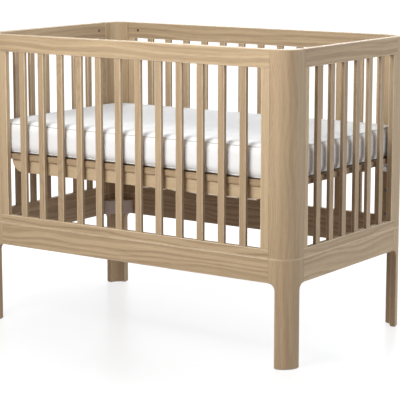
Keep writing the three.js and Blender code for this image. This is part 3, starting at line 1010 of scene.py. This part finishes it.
angle = np.linspace(math.pi, 1.5 * math.pi, BLOCK_ARC_STEPS + 1)[:-1]
round_back = CORNER_RADIUS + (CORNER_RADIUS - on_leg) * np.stack([np.cos(angle), np.sin(angle)], -1)
block_outline = np.concatenate([
    [(CORNER_RADIUS, on_leg), (past_leg, on_leg), (past_leg, on_board), (reach, on_board), (end_in, end_out),
     (end_out, end_in), (on_board, reach), (on_board, past_leg), (on_leg, past_leg)],
    round_back,
])
points, faces = cup(block_outline, moved_inwards(block_outline, BLOCK_WALL), block_low[2], block_high[2],
                    block_high[2] - BLOCK_WALL)
for corner, place in CORNERS.items():
    block = new_piece("plinth_block_" + corner, turned(points, place), faces, plastic)
    bevelled(block, BLOCK_EDGE)
    attach(block, "crib_frame", "grey_plastic", "corner_block_" + corner)
print("4 corner blocks,", len(block_outline), "points in the outline")

# %% [markdown]
# ## Fasteners
# The crib is flat-packed, so it is held by bolts that thread into steel: cross dowels in the top rails,
# threaded inserts in the posts, and bolts with domed heads through brackets on the deck. Each is a turned
# part, so each is a profile spun about its axis. The inserts repeat down each post, one for each height of
# the deck, and the deck's travel in the frame says how far apart they are.

# %% Turned parts
TURN_STEPS = 24


def revolved(radii, heights):
    """A profile turned about the upright axis: (r cos a, r sin a, height). It starts and ends on the axis,
    so both poles are closed by one point and a fan of triangles."""
    steps = TURN_STEPS
    angle = np.linspace(0, 2 * math.pi, steps, endpoint=False)
    radii, heights = np.asarray(radii, float)[:, None], np.asarray(heights, float)[:, None]
    rings = np.stack([radii[1:-1] * np.cos(angle), radii[1:-1] * np.sin(angle),
                      heights[1:-1] + 0 * angle], -1)
    rows = len(rings)
    points = np.concatenate([rings.reshape(-1, 3), [(0, 0, heights[0, 0]), (0, 0, heights[-1, 0])]])
    column = np.arange(steps)
    after = (column + 1) % steps
    last_row = (rows - 1) * steps
    pole = rows * steps
    bottom = np.stack([np.full(steps, pole), after, column], -1)
    top = np.stack([np.full(steps, pole + 1), column + last_row, after + last_row], -1)
    return points, ring_faces(rows, steps).tolist() + bottom.tolist() + top.tolist()


def aimed(points, origin, axis):
    """Points whose upright axis is turned to a level or upright axis, then moved to origin."""
    outward = np.array(axis, float) / np.linalg.norm(axis)
    is_upright = axis[0] == 0 and axis[1] == 0
    across = np.array([1.0, 0, 0]) if is_upright else np.cross((0, 0, 1), outward)
    across /= np.linalg.norm(across)
    third = np.cross(outward, across)
    return points[:, :1] * across + points[:, 1:2] * third + points[:, 2:] * outward + np.asarray(origin)


def turned_part(name, profile, material, origin, axis, body):
    """A turned part in the crib's frame."""
    points, faces = revolved(*profile)
    piece = new_piece(name, aimed(points, origin, axis), faces, material)
    soften_normals(piece)
    attach(piece, body, "grey_plastic")


def side_part(name, profile, material, side, spot, body):
    """A turned part that faces into the crib from a spot (along, depth, height) on one side."""
    inward_way = turned(np.array([0.0, 1.0, 0.0]), (SIDES[side][0], (0, 0)))
    turned_part(name, profile, material, turned(np.array(spot, float), SIDES[side]), inward_way, body)


# profiles: radii, then heights above the surface that the part stands on
DOWEL_PROFILE = ((0, .0050, .0050, .0046, .0026, .0022, 0),
                 (.0001, .0001, .0004, .0007, .0007, .0003, .0003))
INSERT_PROFILE = ((0, .0062, .0062, .0058, .0040, .0037, 0),
                  (.0001, .0001, .0003, .0004, .0004, .0002, .0002))
BOLT_PROFILE = ((0, .0075, .0075, .0066, .0046, .0028, .0022, .0021, 0),
                (.0001, .0001, .0009, .0024, .0035, .0038, .0036, .0016, .0016))
SCREW_PROFILE = ((0, .0045, .0045, .0036, .0020, .0014, .0013, 0),
                 (.0001, .0001, .0006, .0016, .0022, .0022, .0010, .0010))

# %% Cross dowels in the top rails
DOWEL_FROM_END = {"front": 0.046, "back": 0.046, "left": 0.037, "right": 0.037}
DOWEL_HEIGHT = (WINDOW_TOP + HEIGHT) / 2

for side in SIDES:
    along = SPAN[side] / 2 - POST_SPAN - DOWEL_FROM_END[side]
    for hand, sign in HANDS:
        side_part(f"cross_dowel_{side}_{hand}", DOWEL_PROFILE, dark_steel_painted_shade, side,
                  (sign * along, THICKNESS, DOWEL_HEIGHT), "crib_frame")
print("8 cross dowels")

# %% Threaded inserts in the posts
INSERT_FROM_END = 0.066  # from the crib's short side
TOP_SETTING = 0.551  # of the bolts, above the floor
SETTING_SHARES = (0.0, 0.5, 1.0)

deck_joint = next(joint for joint in frame["joints"] if joint["name"] == "deck_height")
travel = abs(min(deck_joint["range_m"]))
settings = [TOP_SETTING - travel * share for share in SETTING_SHARES]
along = LENGTH / 2 - INSERT_FROM_END

for side in ("front", "back"):
    for hand, sign in HANDS:
        for number, height in enumerate(settings, 1):
            side_part(f"threaded_insert_{side}_{hand}_{number}", INSERT_PROFILE, dark_steel_painted_shade, side,
                      (sign * along, CORNER_WALL, height), "crib_frame")
print("12 inserts, at heights", [round(height, 4) for height in settings])

# %% Deck brackets with their bolts and screws
BRACKET_PLATE = 0.0025
BRACKET_WIDTH = 0.034
BRACKET_DROP = 0.038
BRACKET_REACH = 0.031
BRACKET_CLEARANCE = 0.0006
BRACKET_EDGE = 0.0007
SCREW_OUT = 0.62  # share of the bracket's reach

under_deck = PLY_BOTTOM - JOINT_GAP
near_post = CORNER_WALL + BRACKET_CLEARANCE
bracket_outline = np.array([
    (0, 0), (BRACKET_REACH, 0), (BRACKET_REACH, -BRACKET_PLATE), (BRACKET_PLATE, -BRACKET_PLATE),
    (BRACKET_PLATE, -BRACKET_DROP), (0, -BRACKET_DROP),
]) + (near_post, under_deck)
points, faces = prism(bracket_outline, BRACKET_WIDTH)
for side in ("front", "back"):
    for hand, sign in HANDS:
        middle = sign * (along - BRACKET_WIDTH / 4)
        local = np.stack([middle + BRACKET_WIDTH / 2 - points[:, 1], points[:, 0], points[:, 2]], -1)
        bracket = new_piece(f"deck_bracket_{side}_{hand}", turned(local, SIDES[side]), faces, zinc)
        bevelled(bracket, BRACKET_EDGE)
        attach(bracket, "deck", "grey_plastic")
        side_part(f"deck_bolt_{side}_{hand}", BOLT_PROFILE, zinc, side,
                  (sign * along, near_post + BRACKET_PLATE, TOP_SETTING), "deck")
        screw_spot = np.array([middle, near_post + BRACKET_REACH * SCREW_OUT, under_deck - BRACKET_PLATE])
        turned_part(f"bracket_screw_{side}_{hand}", SCREW_PROFILE, zinc, turned(screw_spot, SIDES[side]),
                    (0, 0, -1), "deck")
print("4 brackets, 4 bolts, 4 screws")

# %% Screws inside the corner blocks
SCREW_SHARES = {"lower": 0.28, "upper": 0.68}  # of the block's height

round_inside = CORNER_RADIUS - (CORNER_RADIUS - on_leg - BLOCK_WALL) / math.sqrt(2)
for corner, place in CORNERS.items():
    inward_way = turned(np.array([1.0, 1.0, 0.0]), (place[0], (0, 0)))
    for level, share in SCREW_SHARES.items():
        height = block_low[2] + share * (block_high[2] - block_low[2])
        origin = turned(np.array([round_inside, round_inside, height]), place)
        turned_part(f"block_screw_{corner}_{level}", SCREW_PROFILE, zinc, origin, inward_way, "crib_frame")
print("8 block screws")

# %% [markdown]
# ## Mattress
# A crib mattress is a firm foam core in a stitched cover. It starts as a closed box of even quads whose plan
# corners and edges are pressed from square to round, because even quads behave well as cloth. Then a short
# cloth simulation blows it up a little from inside, as the foam does. Each point may move only a few
# millimetres, and none may go under the deck or into the rails, so it stays a mattress and fits its frame.

# %% Mattress box
CELL = 0.010
MATTRESS_CORNER = 0.040
MATTRESS_EDGE = 0.016
SWELL_ROOM = 0.0025

mattress_low, mattress_high = low("mattress"), high("mattress")
cells = np.round((mattress_high - mattress_low) / CELL).astype(int)


def box_lattice(counts):
    """The surface points of a box on an even lattice, as shares from -1 to 1, its quads facing outwards, and
    the number of each point by its place in the lattice."""
    place = np.stack(np.meshgrid(*(np.arange(count + 1) for count in counts), indexing="ij"), -1)
    outside = (place % counts == 0).any(-1)
    number = np.full(outside.shape, -1)
    number[outside] = np.arange(outside.sum())
    quads = []
    for axis in range(3):
        for end, facing_high in ((0, False), (counts[axis], True)):
            layer = np.take(number, end, axis)
            sheet = np.stack([layer[:-1, :-1], layer[1:, :-1], layer[1:, 1:], layer[:-1, 1:]], -1)
            sheet = sheet.reshape(-1, 4)
            flip = facing_high if axis == 1 else not facing_high
            quads.append(sheet[:, ::-1] if flip else sheet)
    return place[outside] / counts * 2 - 1, np.concatenate(quads), number


def square_to_round(first, second):
    """Two offsets from a square's inner corner, pressed so that the square becomes a quarter circle: the
    direction stays and the length is the larger of the two."""
    length = np.hypot(first, second)
    scale = np.divide(np.maximum(first, second), length, out=np.ones_like(length), where=length > 0)
    return first * scale, second * scale


def pillow_box(shares, half, corner, edge):
    """A box with plan corners of one radius and upper and lower edges of another: first the plan corners
    are pressed round, then the rim and the rise above the edge's start are."""
    x, y, z = (shares * half).T
    out_x = np.maximum(np.abs(x) - (half[0] - corner), 0)
    out_y = np.maximum(np.abs(y) - (half[1] - corner), 0)
    reach_out = np.maximum(out_x, out_y)
    out_x, out_y = square_to_round(out_x, out_y)
    rim = np.maximum(reach_out - (corner - edge), 0)
    lift = np.maximum(np.abs(z) - (half[2] - edge), 0)
    rim_round, lift_round = square_to_round(rim, lift)
    shrink = np.divide(reach_out - rim + rim_round, reach_out, out=np.ones_like(rim), where=reach_out > 0)
    x = np.sign(x) * (np.minimum(np.abs(x), half[0] - corner) + out_x * shrink)
    y = np.sign(y) * (np.minimum(np.abs(y), half[1] - corner) + out_y * shrink)
    z = np.sign(z) * (np.minimum(np.abs(z), half[2] - edge) + lift_round)
    return np.stack([x, y, z], -1)


shares, quads, number = box_lattice(cells)
start_half = (mattress_high - mattress_low) / 2 - (SWELL_ROOM, SWELL_ROOM, SWELL_ROOM / 2)
start_middle = (mattress_high + mattress_low) / 2 - (0, 0, SWELL_ROOM / 2)
points = pillow_box(shares, start_half, MATTRESS_CORNER - SWELL_ROOM, MATTRESS_EDGE) + start_middle
mattress = new_piece("crib_mattress", points, quads.tolist(), cover)
print("mattress of", len(points), "points")

# %% Mattress simulation
SWELL_FRAMES = 20
SWELL_PRESSURE = 0.25
SWELL_CAP = 0.0035
CROWN_ROOM = 0.003  # how far the top may stand above the CAD solid
NO_LENGTH = 1e-9


def read_points(mesh):
    """The places of a mesh's vertices as an array."""
    values = np.empty(len(mesh.vertices) * 3, np.float32)
    mesh.vertices.foreach_get("co", values)
    return values.reshape(-1, 3).astype(float)


def swell(piece, lowest, highest):
    """Blows a closed piece up as cloth, with no gravity, then caps how far each point has moved."""
    rest = read_points(piece.data)
    modifier = piece.modifiers.new("Cloth", "CLOTH")
    modifier.settings.use_pressure = True
    modifier.settings.uniform_pressure_force = SWELL_PRESSURE
    modifier.settings.effector_weights.gravity = 0
    modifier.point_cache.frame_end = SWELL_FRAMES
    scene = bpy.context.scene
    for step in range(1, SWELL_FRAMES + 1):
        scene.frame_set(step)
    shown = piece.evaluated_get(bpy.context.evaluated_depsgraph_get())
    move = read_points(shown.data) - rest
    piece.modifiers.remove(modifier)
    scene.frame_set(1)
    length = np.linalg.norm(move, axis=1, keepdims=True)
    move *= np.minimum(1, SWELL_CAP / np.maximum(length, NO_LENGTH))
    moved = np.clip(rest + move, lowest, highest)
    piece.data.vertices.foreach_set("co", moved.astype(np.float32).ravel())
    piece.data.update()
    return float(length.max()), float(np.linalg.norm(moved - rest, axis=1).max())


most, kept = swell(mattress, mattress_low, mattress_high + (0, 0, CROWN_ROOM))
print(f"the cloth moved up to {most * 1000:.1f} mm, of which {kept * 1000:.1f} mm was kept")
mattress_points = read_points(mattress.data)

subdivision = mattress.modifiers.new("Smooth cover", "SUBSURF")
subdivision.levels = 1
subdivision.render_levels = 1
attach(mattress, "mattress", "mattress_cover", "mattress")

# %% [markdown]
# ## Piping
# The cover's top and bottom panels are sewn to the side band with a thin piping. It follows the row of
# points that the seam would follow, at the middle of the rounded edge, after the simulation has moved them.
# A tube carried along that closed path is lighter than a Curve object, and its mesh is known at once. The
# piping is real, but its grey, darker than the cover, is painted shade: the thin shaded line along the edge.

# %% Piping
PIPING_RADIUS = 0.0022
PIPING_SIDES = 8
PIPING_OUT = 0.0006


def closed_tube(path, radius, sides, outward):
    """A tube round a level closed path that runs anticlockwise. Across the path, one axis points outwards
    and the other down: point = path + (outward + r cos a) side - r sin a up."""
    tangent = np.roll(path, -1, 0) - np.roll(path, 1, 0)
    side_way = np.cross(tangent, (0, 0, 1))
    side_way /= np.linalg.norm(side_way, axis=1, keepdims=True)
    angle = np.linspace(0, 2 * math.pi, sides, endpoint=False)[None, :, None]
    across = (outward + radius * np.cos(angle)) * side_way[:, None]
    grid = path[:, None] + across - radius * np.sin(angle) * np.array([0, 0, 1.0])
    return grid, ring_faces(len(path), sides, closed=True)


for name, level in (("top", cells[2]), ("bottom", 0)):
    layer = number[:, :, level]
    seam = np.concatenate([layer[:-1, 0], layer[-1, :-1], layer[:0:-1, -1], layer[0, :0:-1]])
    path = mattress_points[seam]
    path = (np.roll(path, 1, 0) + 2 * path + np.roll(path, -1, 0)) / 4
    grid, faces = closed_tube(path, PIPING_RADIUS, PIPING_SIDES, PIPING_OUT)
    piping = new_piece("mattress_piping_" + name, grid, faces.tolist(), piping_painted_shade)
    attach(piping, "mattress", "mattress_cover")
print("piping of", len(seam), "points")

# %% [markdown]
# ## Floor
# A plain pale floor that runs so far that no horizon shows. A white studio floor is lit so strongly that
# shadows on it nearly vanish. Lighting it like that here would also light the crib from below, so the floor
# glows by itself and is hidden from the light that bounces between surfaces. Its glow is a little weaker
# under
# the crib than further out: that is a painted shadow of the crib. It is slightly glossy: the legs leave a
# faint streak on it, which makes the crib stand on it.

# %% Floor
FLOOR_REACH = 60.0
GLOW_COLOR = (0.985, 0.99, 1.0, 1)
# painted shadow: the glow is weaker near the crib and rises to full over these distances
PAINTED_SHADOW_FADE = (0.5, 1.6)  # metres from the middle of the crib
GLOW_IN_PAINTED_SHADOW = 0.735
GLOW_FAR = 1.0

paper, tree, surface = speckled_material("Studio floor", (0.17, 0.17, 0.17, 1), (0.19, 0.19, 0.19, 1),
                                         0.20, 0.04, 60.0, 1.2)
away = add_node(tree, "VectorMath", {0: object_spot(tree)}, operation="LENGTH").outputs["Value"]
set_inputs(surface, {
    "Specular IOR Level": 0.4,
    "Emission Color": GLOW_COLOR,
    "Emission Strength": ramp(away, *PAINTED_SHADOW_FADE, GLOW_IN_PAINTED_SHADOW, GLOW_FAR),
})
corners = np.array([(-1, -1, 0), (1, -1, 0), (1, 1, 0), (-1, 1, 0)]) * FLOOR_REACH
floor = new_piece("studio_floor", corners, [(0, 1, 2, 3)], paper)
floor.visible_diffuse = False

# %% [markdown]
# ## Sizes and the end
# The finished surfaces must stay inside the CAD model's box, which is printed here.

# %% Sizes and the end
print("CAD box", cad_box)
